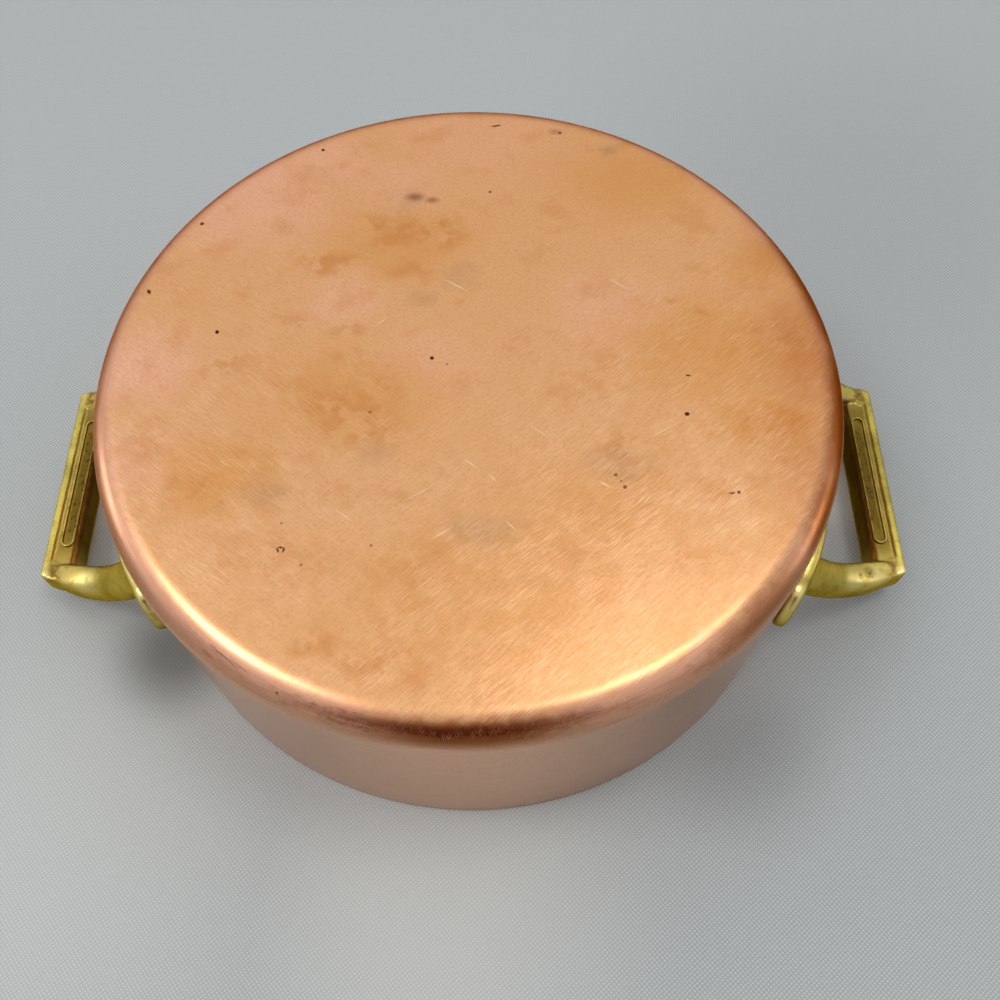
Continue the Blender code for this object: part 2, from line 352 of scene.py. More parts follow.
def makeStage():
    print("stage")
    for name, sheets, height, facing in (
        ("floor", 2, -stageSetup["gap"], 1),
        ("table", 1, potHeight + stageSetup["gap"], -1),
    ):
        material = bpy.data.materials.new(name + "Card")
        material.use_nodes = True
        tree = material.node_tree
        tree.nodes.clear()
        crossed = addNode(tree, "LightPath", {}, {})["Transparent Depth"]
        back = addNode(tree, "NewGeometry", {}, {})["Backfacing"]
        operation = "LESS_THAN" if sheets == 2 else "GREATER_THAN"
        counted = addNode(tree, "Math", {"operation": operation}, {0: crossed, 1: 1.5})[0]
        front = addNode(tree, "Math", {"operation": "SUBTRACT"}, {0: 1.0, 1: back})[0]
        shown = joinMasks(tree, "MULTIPLY", counted, front)
        clear = addNode(tree, "BsdfTransparent", {}, {})
        place = addNode(tree, "TexCoord", {}, {})["Object"]
        threads = addStreaks(tree, place, stageSetup["threadTurn"], 2.2, 0.3, 0.42, 0.62)
        weave = addWeave(tree, place, stageSetup["weaveTurn"], stageSetup["pitch"])
        color = addLayers(tree, stageSetup, linearColor(stageSetup["cloth"]), (
            (threads, "thread", "threadShare"),
            (weave, "crossing"),
            (addSpots(tree, place, 1, 0.1, stageSetup["litSpots"]), "lit"),
            (addSpots(tree, place, 1, 0.1, stageSetup["shadedSpots"]), "shaded"),
            (addSpots(tree, place, 1, 0.68, stageSetup["shadeBehind"]), "shaded"),
        ))
        card = addNode(tree, "BsdfDiffuse", {}, {"Color": color})
        mixed = addNode(tree, "MixShader", {}, {0: shown, 1: clear[0], 2: card[0]})
        addNode(tree, "OutputMaterial", {}, {"Surface": mixed[0]})
        for i in range(sheets):
            deselectAll()
            place = (0, 0, height - i * stageSetup["sheetGap"])
            turn = 0 if facing > 0 else math.pi
            bpy.ops.mesh.primitive_plane_add(size=stageSetup["size"], location=place, rotation=(turn, 0, 0))
            sheet = startPiece(f"{name}Sheet{i}")
            sheet.data.materials.append(material)


def makeWorld():
    print("world")
    world = bpy.data.worlds.new("softRoom")
    bpy.context.scene.world = world
    world.use_nodes = True
    tree = world.node_tree
    tree.nodes.clear()
    direction = addNode(tree, "TexCoord", {}, {})["Generated"]
    axes = addNode(tree, "SeparateXYZ", {}, {0: direction})
    height = addNode(tree, "Math", {"operation": "ABSOLUTE"}, {0: axes["Z"]})[0]
    ramp = addNode(tree, "MapRange", {"interpolation_type": "SMOOTHSTEP"}, {
        "Value": height, "From Min": 0.0, "From Max": worldSetup["fullHeight"],
    })[0]
    room = addLayers(tree, worldSetup, linearColor(worldSetup["low"]), ((ramp, "high"),))
    toward = addNode(tree, "VectorMath", {"operation": "DOT_PRODUCT"}, {
        0: direction, 1: Vector(worldSetup["shadeDirection"]).normalized(),
    })["Value"]
    begin, full = worldSetup["shadeEdge"]
    shaded = addNode(tree, "MapRange", {"interpolation_type": "SMOOTHSTEP"}, {
        "Value": toward, "From Min": begin, "From Max": full,
    })[0]
    reflected = addLayers(tree, worldSetup, room, ((shaded, "shade"),))
    leaning = addNode(tree, "VectorMath", {"operation": "DOT_PRODUCT"}, {
        0: direction, 1: worldSetup["lean"],
    })["Value"]
    leaning = addNode(tree, "Math", {"operation": "ADD"}, {0: leaning, 1: 1.0})[0]
    reflected = addNode(tree, "VectorMath", {"operation": "SCALE"}, {
        0: reflected, "Scale": leaning,
    })[0]
    ray = addNode(tree, "LightPath", {}, {})["Is Camera Ray"]
    seen = addLayers(tree, worldSetup, reflected, ((ray, "seen"),))
    light = addNode(tree, "Background", {}, {"Color": seen, "Strength": 1.0})
    addNode(tree, "OutputWorld", {}, {"Surface": light[0]})


lampSetups = {
    # direction from the pot, distance in m, size in m, watts, colour
    "streakLampLeft": ((0.546, -0.085, -0.834), 1.3, 0.36, 3.9, "#fff9f2"),
    "streakLampRight": ((-0.270, 0.050, -0.950), 1.3, 0.33, 2.45, "#fff8f0"),
    "windowLeft": ((0.98, 0.14, -0.12), 1.6, 0.4, 1.4, "#fbfaf4"),
    "windowRight": ((-0.99, 0.02, -0.10), 1.6, 0.4, 1.1, "#fff8ea"),
    "keyLamp": ((-0.55, -0.65, 0.95), 1.4, 0.7, 7.0, "#fff8ef"),
    "fillLamp": ((0.85, 0.35, 0.75), 1.5, 0.7, 3.5, "#eff5ff"),
}


def makeLamps():
    print("lamps")
    for name, (toward, far, size, watts, color) in lampSetups.items():
        data = bpy.data.lights.new(name, "AREA")
        data.size = size
        data.energy = watts
        data.color = linearColor(color)[:3]
        lamp = bpy.data.objects.new(name, data)
        bpy.context.scene.collection.objects.link(lamp)
        toward = Vector(toward).normalized()
        lamp.location = toward * far
        lamp.rotation_euler = toward.to_track_quat("Z", "Y").to_euler()
        lamp.visible_camera = False


cameraSetup = {
    "place": (-8.05 * mm, -153.67 * mm, -218.07 * mm),
    "forward": (-0.0003, 0.46248, 0.88663),
    "up": (-0.00401, 0.88662, -0.46248),
    "lens": 36.008,  # mm, on a 36 mm sensor
}


def makeCamera():
    data = bpy.data.cameras.new("photoCamera")
    data.sensor_width = 36
    data.lens = cameraSetup["lens"]
    data.clip_start = 0.01
    camera = bpy.data.objects.new("photoCamera", data)
    bpy.context.scene.collection.objects.link(camera)
    forward = Vector(cameraSetup["forward"]).normalized()
    right = forward.cross(Vector(cameraSetup["up"])).normalized()
    up = right.cross(forward)
    turn = Matrix((right, up, -forward)).transposed().to_4x4()
    camera.matrix_world = Matrix.Translation(cameraSetup["place"]) @ turn
    bpy.context.scene.camera = camera


# Pot

potSizes = {
    "wall": 1.6 * mm,
    "bend": 8.0 * mm,  # outside bend between base and wall
    "gap": 0.05 * mm,  # between copper and lining, which are bonded on the real pot
    "lining": 0.6 * mm,
    "rimRound": 0.45 * mm,
    "liningRound": 0.2 * mm,
    "support": 0.6 * mm,  # from a bend to the edge line that keeps the flat beside it flat
    "rimSupport": 1.8 * mm,
    "baseRings": (20 * mm, 30 * mm, 30 * mm),  # widths, from the bend inwards
    "sides": 256,
    "bendSteps": 16,
}


def makeShell(name, radius, bottom, wall, bend, rimRound):
    print(name)
    deselectAll()
    bpy.ops.mesh.primitive_cylinder_add(
        vertices=potSizes["sides"], radius=radius, depth=potHeight - bottom,
        location=(0, 0, (potHeight + bottom) / 2), end_fill_type="NGON",
    )
    shell = startPiece(name)
    startEditing()
    pick(shell, "FACE", lambda middle, normal: normal.z > 0.9)
    bpy.ops.mesh.delete(type="ONLY_FACE")
    pick(shell, "EDGE", lambda a, b: max(a.co.z, b.co.z) < bottom + near)
    bpy.ops.mesh.bevel(offset=bend, segments=potSizes["bendSteps"], affect="EDGES")
    pick(shell, "FACE", lambda middle, normal: normal.z < -0.999 and middle.xy.length < 1 * mm)
    for thickness in (potSizes["support"], *potSizes["baseRings"]):
        bpy.ops.mesh.inset(thickness=thickness)
    cutAt((0, 0, bottom + bend + potSizes["support"]), (0, 0, 1))
    cutAt((0, 0, potHeight - potSizes["rimSupport"]), (0, 0, 1))
    endEditing()
    addModifier(shell, "SOLIDIFY", thickness=wall, offset=-1, use_even_offset=True)
    startEditing()
    pick(shell, "EDGE", lambda a, b: min(a.co.z, b.co.z) > potHeight - near
         and abs(a.co.xy.length - b.co.xy.length) < near)
    bpy.ops.mesh.bevel(offset=rimRound, segments=4, affect="EDGES")
    endEditing()
    bpy.ops.object.shade_smooth_by_angle(angle=math.radians(30))
    return shell


def makePot():
    wall = potSizes["wall"]
    pot = makeShell("copperPot", potRadius, 0, wall, potSizes["bend"], potSizes["rimRound"])
    finishPiece(pot, makeCopper(), "copper_body")
    inset = wall + potSizes["gap"]
    lining = makeShell(
        "steelLining", potRadius - inset, inset, potSizes["lining"],
        potSizes["bend"] - inset, potSizes["liningRound"],
    )
    finishPiece(lining, makeLiningSteel(), "steel_lining")


copperFinish = {
    "base": "#d8a16e",
    "pink": "#e3a98a",  # cleaner copper
    "amber": "#d0904c",
    "warm": "#c58041",  # heat-tinted blotches
    "rust": "#b97340",  # browner toward one side
    "smudge": "#a67f5a",
    "purple": "#84493a",
    "line": "#f6d0ab",  # freshly rubbed, and a painted glint on the left bend
    "dark": "#431f0f",
    "bend": "#eab096",
    "bandTarnishAndReflection": "#7a300e",  # dark where the bend turns down in front: tarnish and a painted reflection of the room's dark side
    "bendBrown": "#934712",
    "wall": "#dfb092",
    "wallLine": "#a37b60",
    "edge": "#d4905f",  # at a glancing look
    "wallEdge": "#fff4ea",
    "roughness": 0.29,
    "mottling": 0.05,  # how much rougher its dull patches are
    "wallRoughness": 0.2,
    "groove": 0.012 * mm,
    "ringDepth": 0.5,  # of a rubbed line's
    # how strongly tones are laid over the colour
    "cloudShare": 0.4,
    "grainShare": 0.3,
    "lineShare": 0.6,
    "ringShare": 0.22,
    "hairShare": 0.4,
    "pinkShare": 0.75,
    "bandShare": 0.36,  # of the dark band where its streaks are palest
    "bandStreaks": 0.35,  # and what they add
    "linesBehind": 0.35,  # strength of the rubbed lines at the back
    "crossing": 0.2,  # least strength of either direction
}

# Where finishes come in, in mm out from the base's middle and up the wall
copperZones = {
    "bend": (93, 99),
    "wall": (102, 107),
    "linesEnd": (94, 100),
    "edgeStart": (97.5, 100),
    "edgeEnd": (101.5, 104),
}

# Spots on the copper, in mm: x, y, z, half width, strength
pinkZones = (
    (66, 62, 0, 42, 0.9), (44, 73, 0, 26, 0.7), (34, 22, 0, 20, 0.55), (88, 0, 0, 26, 0.9),
    (84, -28, 0, 22, 0.6), (0, 84, 0, 40, 0.4), (-38, 20, 0, 26, 0.5), (10, 2, 0, 20, 0.45),
    (20, 66, 0, 22, 0.5),
)
amberZones = (
    (-67, 5, 0, 42, 0.8), (-77.5, -17, 0, 24, 1.0), (63, -32, 0, 26, 0.8), (0, -66, 0, 50, 0.5),
    (-30, -44, 0, 34, 0.5), (-50, 66, 0, 38, 0.6), (-90, 4, 0, 26, 1.0), (-86, 34, 0, 24, 0.7),
    (30, -10, 0, 36, 0.7), (20, 42, 0, 30, 0.6),
)
heatBlotches = (
    (39.6, 35.3, 0, 12, 0.75), (23, 47, 0, 16, 0.8), (8.7, 46.2, 0, 13, 0.75), (15.9, 33.1, 0, 9, 0.55),
    (46.3, 15.5, 0, 10, 0.45), (32.1, 11, 0, 9, 0.5), (31.8, 2.8, 0, 8, 0.5), (63.1, -0.2, 0, 15, 0.5),
    (31.8, -12.9, 0, 18, 0.85), (25, -19.6, 0, 12, 0.7), (80.9, -24.7, 0, 12, 0.5), (63, -37.4, 0, 11, 0.6),
    (-40.5, -25.2, 0, 14, 0.65), (-43, -31.6, 0, 9, 0.5), (-77.5, -17.1, 0, 15, 0.6),
    (-67.5, -37.4, 0, 11, 0.5), (-34.5, -4.5, 0, 10, 0.4), (-23.9, -8.2, 0, 10, 0.35),
    (-22.4, -56.1, 0, 13, 0.4), (-53.4, -56.3, 0, 13, 0.4), (-55.3, 21.4, 0, 4, 0.85),
    (-62.3, 17.3, 0, 4.5, 0.75), (44, -57, 0, 18, 0.4), (12, -58, 0, 16, 0.35),
    (21, -82, 0, 14, 0.75), (12, -86, 0, 9, 0.5), (35, -76, 0, 10, 0.6), (-85, 10, 0, 16, 0.5),
)
smudges = (
    (-3.3, -48.6, 0, 13, 0.4), (50, -36.9, 0, 10, 0.4), (12.6, 23.9, 0, 7, 0.35), (-40.5, 78.7, 0, 7, 0.6),
    (23.3, -27, 0, 8, 0.35), (-38, -29, 0, 12, 0.35), (2, 30, 0, 9, 0.25), (18, 59, 0, 9, 0.3),
)
# browner bend at the right side and in front: a brown tint, partly a painted reflection of the room's dark
# side
brownBends = (
    (-97, -15, 3, 36, 0.75), (-90, -42, 3, 24, 0.6), (-94, 24, 3, 30, 0.65), (-70, -68, 4, 26, 0.5),
    (0, -98, 4, 36, 0.8),
)
rustZones = ((-97, 4, 0, 30, 0.8), (-90, -30, 0, 24, 0.6), (-88, 42, 0, 20, 0.4))
# where the bend's dark band lies: tarnish and a painted reflection of the room's dark side
darkBends = (
    (0, -98, 4, 34, 1.0), (28, -94, 4, 26, 0.8), (-26, -95, 4, 24, 0.7), (-60, -79, 4, 26, 0.45),
    (60, -79, 4, 22, 0.4),
)
purpleSpots = ((16.3, 60, 0, 4.2, 0.8), (11.3, 58.8, 0, 3.2, 0.7), (-25.3, 86.3, 0, 3, 0.5))
specks = (
    (44.7, 79.1, 0, 0.75, 0.9), (77.2, 50, 0, 0.8, 0.9), (88.5, 25.3, 0, 0.8, 0.8), (68, 11.5, 0, 0.75, 1),
    (9.8, 2.7, 0, 0.75, 1), (-5.6, 61.9, 0, 0.6, 0.8), (-26.8, 85.9, 0, 0.6, 0.8),
    (-56.4, -15.2, 0, 0.75, 1), (25.3, -14.2, 0, 0.55, 0.5), (45.1, -46, 0, 0.5, 0.5),
    (39.3, -57.1, 0, 0.5, 0.5), (22.9, -52, 0, 0.5, 0.5), (5.8, 0.7, 0, 0.5, 0.5), (-67.1, -38, 0, 0.6, 0.8),
    (-37, -33, 0, 0.6, 0.7), (-39.1, -36.4, 0, 0.7, 0.7), (-38.2, -34.8, 0, 0.4, 0.6),
    (42.4, -87.7, 2.1, 0.55, 0.6), (-37.2, -92.8, 20.6, 0.9, 0.5),
)
# Scratches, in mm: x, y, z, turn in degrees, half length, half width, strength
strokeDepth = 3  # how far a scratch's mark reaches to either side of its x, y and z, across the surface
darkStrokes = (
    (-7.4, 89, 0, 170, 1.9, 0.5, 0.9), (-57.7, -3.1, 0, 10, 0.9, 0.35, 0.9),
    (45.3, -53.3, 0, 70, 0.9, 0.35, 0.9), (43.9, -53.3, 0, 105, 0.9, 0.35, 0.9),
    (44.6, -52.6, 0, 0, 0.9, 0.3, 0.9), (-65.4, -38.2, 0, 0, 1, 0.4, 0.8),
    (55.1, -79.4, 1.6, 39, 5.8, 0.2, 0.5), (51, -82, 1.9, 37, 3, 0.15, 0.4),
    (88.5, 25.3, 0, 60, 1.3, 0.5, 0.8),
)
scratchesAndGlint = (
    (4, 27.3, 0, 33, 4.8, 0.22, 0.9), (23.8, 14.8, 0, 141, 2.2, 0.2, 0.9),
    (-0.8, -29.6, 0, 40, 2.8, 0.2, 0.9), (-34.1, -35.6, 0, 33, 1.9, 0.25, 1),
    (-41.2, 27.5, 0, 37, 4.4, 0.2, 0.8), (-6.3, -33.7, 0, 46, 1.9, 0.2, 0.9),
    (-10.6, -46.8, 0, 46, 2.2, 0.2, 0.9), (6.2, -49, 0, 147, 3.4, 0.2, 0.9), (-18, -20, 0, 40, 4, 0.2, 0.6),
    (12, -38, 0, 150, 5, 0.2, 0.6), (-50, -20, 0, 150, 5, 0.2, 0.6), (30, -44, 0, 40, 4, 0.2, 0.6),
    # these two on the left bend are a painted highlight, a thin lamp glint
    (97.5, -16, 2, 80, 6, 0.4, 0.8), (98, -4, 2.4, 90, 2, 0.3, 0.7),
)


def unrollPot(tree, place):
    # the place over the base, the way out from its middle and up the wall, and a place with that
    # way as its x, along which turned lines are drawn
    axes = addNode(tree, "SeparateXYZ", {}, {0: place})
    flat = addNode(tree, "VectorMath", {"operation": "MULTIPLY"}, {0: place, 1: (1, 1, 0)})[0]
    radius = addNode(tree, "VectorMath", {"operation": "LENGTH"}, {0: flat})["Value"]
    along = addNode(tree, "Math", {"operation": "ADD"}, {0: radius, 1: axes["Z"]})[0]
    ringPlace = addNode(tree, "CombineXYZ", {}, {0: along, 1: axes["X"], 2: axes["Y"]})[0]
    return axes, flat, along, ringPlace


def makeCopper():
    # Satin copper: spun, hand rubbed both ways and used. It gives soft wide highlights with fine
    # rubbed lines, orange heat tint on the base, and a cleaner, shinier wall with turned lines.
    material, tree, shader, place = startMetal(
        "satinCopper", copperFinish["roughness"], copperFinish["edge"]
    )
    axes, flat, along, ringPlace = unrollPot(tree, place)
    loose = wander(tree, place, 9, 6)
    tight = wander(tree, place, 1.2, 0.3)
    mottle = addClouds(tree, place, 4, 0.32, 0.6)
    wobble = addNode(tree, "Math", {"operation": "MULTIPLY_ADD"}, {0: mottle, 1: 2 * mm, 2: along})[0]
    zones = {}
    for name, (low, high) in copperZones.items():
        zones[name] = addNode(tree, "MapRange", {"interpolation_type": "SMOOTHSTEP"}, {
            "Value": along if name == "wall" else wobble, "From Min": low * mm, "From Max": high * mm,
        })[0]
    onBend, onWall = zones["bend"], zones["wall"]

    # tint of the base
    blotches = addSpots(tree, loose, 0.62, 0.1, heatBlotches)
    blotches = joinMasks(tree, "MULTIPLY", blotches, addClouds(tree, place, 7, 0.43, 0.55))
    clouds = addClouds(tree, place, 15, 0.5, 0.72)
    grain = addClouds(tree, place, 0.8, 0.42, 0.68)
    color = addLayers(tree, copperFinish, linearColor(copperFinish["base"]), (
        (addSpots(tree, loose, 0.8, 0.1, pinkZones), "pink"),
        (addSpots(tree, loose, 0.62, 0.1, amberZones), "amber"),
        (clouds, "warm", "cloudShare"),
        (blotches, "warm"),
        (addSpots(tree, loose, 1.3, 0.1, rustZones), "rust"),
        (grain, "warm", "grainShare"),
        (addSpots(tree, loose, 0.7, 0.0, smudges), "smudge"),
        (addSpots(tree, tight, 0.6, 0.0, purpleSpots), "purple"),
    ))

    # rubbed lines, in patches, crossing in the middle, one way stronger at each side, and
    # stronger in front
    sideways = addNode(tree, "VectorMath", {"operation": "DOT_PRODUCT"}, {
        0: place, 1: (1, 0.3, 0),
    })["Value"]
    share = addNode(tree, "MapRange", {}, {
        "Value": sideways, "From Min": -40 * mm, "From Max": 70 * mm,
        "To Min": copperFinish["crossing"],
    })[0]
    other = addNode(tree, "Math", {"operation": "SUBTRACT"}, {
        0: 1 + copperFinish["crossing"], 1: share,
    })[0]
    patches = addNode(tree, "Math", {"operation": "MULTIPLY_ADD"}, {
        0: addClouds(tree, place, 16, 0.3, 0.7), 1: 0.7, 2: 0.3,
    })[0]
    frontward = addNode(tree, "MapRange", {}, {
        "Value": axes["Y"], "From Min": 50 * mm, "From Max": -50 * mm,
        "To Min": copperFinish["linesBehind"],
    })[0]
    onBase = addNode(tree, "Math", {"operation": "SUBTRACT"}, {0: 1.0, 1: zones["linesEnd"]})[0]
    lines = joinMasks(tree, "MAXIMUM", *(
        joinMasks(tree, "MULTIPLY", addStreaks(tree, flat, turn, 6, 0.25, 0.44, 0.78), weight)
        for turn, weight in ((34, share), (42, share), (135, other), (143, other))
    ))
    lines = joinMasks(tree, "MULTIPLY", lines, patches, frontward, onBase)

    # turned lines round the bend and the wall, and in front a ragged dark band with light hairs,
    # the band partly tarnish and partly a painted reflection of the room's dark side
    rings = joinMasks(tree, "MULTIPLY", addStreaks(tree, ringPlace, 0, 0.35, 14, 0.46, 0.74), onBend)
    inEdge = addNode(tree, "Math", {"operation": "SUBTRACT"}, {
        0: zones["edgeStart"], 1: zones["edgeEnd"],
    })[0]
    inEdge = joinMasks(tree, "MULTIPLY", inEdge, addSpots(tree, loose, 1, 0.1, darkBends))
    ragged = addNode(tree, "Math", {"operation": "MULTIPLY_ADD"}, {
        0: addStreaks(tree, ringPlace, 0, 0.5, 5, 0.35, 0.6),
        1: copperFinish["bandStreaks"], 2: copperFinish["bandShare"],
    })[0]
    hairs = joinMasks(
        tree, "MAXIMUM", addStreaks(tree, flat, 65, 2.6, 0.2, 0.58, 0.7),
        addStreaks(tree, flat, 130, 2.8, 0.2, 0.58, 0.7),
    )
    hairs = joinMasks(tree, "MULTIPLY", hairs, inEdge)
    # browner bend: brown tint and painted reflection of the room's dark side
    brown = addSpots(tree, loose, 1, 0.1, brownBends)
    pink = addNode(tree, "Math", {"operation": "MULTIPLY_ADD"}, {
        0: brown, 1: -copperFinish["pinkShare"], 2: copperFinish["pinkShare"],
    })[0]
    color = addLayers(tree, copperFinish, color, (
        (joinMasks(tree, "MULTIPLY", onBend, pink), "bend"),
        (joinMasks(tree, "MULTIPLY", brown, onBend), "bendBrown"),
        (joinMasks(tree, "MULTIPLY", ragged, inEdge), "bandTarnishAndReflection"),
        (onWall, "wall"),
        (lines, "line", "lineShare"),
        (rings, "bendBrown", "ringShare"),
        (hairs, "line", "hairShare"),
        (joinMasks(tree, "MULTIPLY", grain, onWall), "wallLine", "grainShare"),
        # light scratches, and a painted glint on the left bend
        (addStrokes(tree, place, 0.2, scratchesAndGlint), "line"),
        (addStrokes(tree, tight, 0.5, darkStrokes), "dark"),
        (addSpots(tree, tight, 1, 0.5, specks), "dark"),
    ))

    # finish: a dull base and bend, and a shinier wall
    rough = addMottling(tree, copperFinish, mottle)
    rough = addNode(tree, "Mix", {}, {0: onWall, 2: rough, 3: copperFinish["wallRoughness"]})[0]
    edge = addLayers(tree, copperFinish, linearColor(copperFinish["edge"]), ((onWall, "wallEdge"),))
    tree.links.new(edge, shader.inputs["Specular Tint"])
    rings = joinMasks(tree, "MULTIPLY", rings, copperFinish["ringDepth"])
    groove = joinMasks(tree, "MAXIMUM", lines, rings, hairs)
    finishMetal(tree, shader, color, rough, groove, copperFinish["groove"])
    return material


steelFinish = {
    "sheet": "#c3c1bb",
    "line": "#a3a19b",
    "scratch": "#dcdad4",
    "pressed": "#c8c6c0",
    "roughness": 0.26,
    "mottling": 0.1,
    "groove": 0.008 * mm,
    "ringShare": 0.45,
    "scratchShare": 0.5,
    "pressedRoughness": (0.2, 0.36),  # where rubbed, where dull
}


def makeLiningSteel():
    # Stainless steel sheet, brushed round and round and then cooked in: grey with fine rings,
    # dull patches and light scratches on the floor.
    material, tree, shader, place = startMetal("brushedStainlessSteel", steelFinish["roughness"])
    along, ringPlace = unrollPot(tree, place)[2:]
    rings = addStreaks(tree, ringPlace, 0, 0.45, 16, 0.4, 0.66)
    onFloor = addNode(tree, "MapRange", {}, {
        "Value": along, "From Min": 92 * mm, "From Max": 98 * mm,
        "To Min": steelFinish["scratchShare"], "To Max": 0.0,
    })[0]
    scratched = joinMasks(tree, "MAXIMUM", *(
        addStreaks(tree, place, turn, 14, 0.3, 0.66, 0.76) for turn in (25, 80, 130)
    ))
    color = addLayers(tree, steelFinish, linearColor(steelFinish["sheet"]), (
        (rings, "line", "ringShare"),
        (joinMasks(tree, "MULTIPLY", scratched, onFloor), "scratch"),
    ))
    rough = addMottling(tree, steelFinish, addClouds(tree, place, 24, 0.4, 0.7))
    finishMetal(tree, shader, color, rough, rings, steelFinish["groove"])
    return material


def makeRivetSteel():
    # Stainless steel heads, pressed and then rubbed: smooth, with a few dull patches
    rubbed, dull = steelFinish["pressedRoughness"]
    material, tree, shader, place = startMetal("pressedStainlessSteel", rubbed)
    shader.inputs["Base Color"].default_value = linearColor(steelFinish["pressed"])
    rough = addNode(tree, "MapRange", {}, {
        "Value": addClouds(tree, place, 1.6, 0.4, 0.7), "To Min": rubbed, "To Max": dull,
    })[0]
    tree.links.new(rough, shader.inputs["Roughness"])
    return material


brassFinish = {
    "base": "#e1c971",
    "bright": "#bfa655",  # the raised frame's top
    "pale": "#d2c25e",  # the bar's outer lip
    "olive": "#8b7730",
    "trough": "#7d6218",
    "dark": "#66501c",
    "brown": "#745222",
    "slopeReflection": "#4e2f0e",  # the bar's inner slope: a painted reflection of the copper wall
    "spot": "#3f3114",
    "edge": "#d2b96a",  # at a glancing look
    # painted highlight on the arms' ridges, the bar's ends and the pads
    "paintedHighlight": "#ecdb92",
    "roughness": 0.32,
    "grain": 0.02 * mm,
    "pitDepth": 3.0,  # in grains
    "mottling": 0.1,
    "recessShare": 0.85,
    "recessEdge": (0.65, 1.15),  # of a box's half size: its tone fades out between these
    "cloudShare": 0.45,
    "stainShare": 0.35,
    "fleckShare": 0.2,
}

# Recesses and edges of the grip bar, as boxes in mm: middle and half size of |x|, |y| and z
barRecesses = {
    "trough": ((126.2, 0, 62.8), (3.0, 33.0, 0.75)),
    "plate": ((125.5, 0, 62.6), (1.5, 21.8, 0.7)),
    "slope": ((122.2, 0, 65.4), (1.9, 30.0, 4.6)),
    "troughEnd": ((126.2, 31.5, 62.9), (3.2, 2.6, 1.0)),
    "bead": ((125.5, 0, 61.95), (3.0, 25.0, 0.35)),
    "lip": ((130.6, 0, 61.8), (1.4, 34.0, 0.5)),
    "step": ((129.4, 0, 62.4), (0.35, 33.0, 0.5)),
}

# Spots on the brass, in mm: x, y, z, radius, strength
stainsAndDarkerBar = (
    # the first spot darkens the whole left handle's bar; the others are stains
    (-127, 5, 62, 36, 0.28),
    (-126, 28, 62, 14, 0.45), (-130, -6, 62, 9, 0.4), (-129, 14, 62, 8, 0.4), (-126, -22, 62, 7, 0.3),
    (127, 26, 62, 10, 0.3), (131, 4, 62, 6, 0.3), (127, -33, 62, 5, 0.35), (-103, -43, 50, 7, 0.25),
)
# painted highlights on the arms' ridges, the bar's ends and the pads
paintedHighlightSpots = (
    (116, -36.5, 58, 7, 0.7), (131, -33.2, 62, 3, 0.6), (-113, -38, 57, 7, 0.75), (-122, -35, 60, 5, 0.6),
    (-131.3, -33, 62.3, 3.5, 0.8), (-88, -54, 31, 6, 0.8), (87, -54, 31, 5, 0.6),
)
pittedSpots = ((-120.2, -34.1, 58.3, 3.6, 0.6), (-116.5, -36, 57, 2, 0.4), (127, -36, 63, 1.5, 0.5))
ringMark = (120.6, -31.7, 58.5)


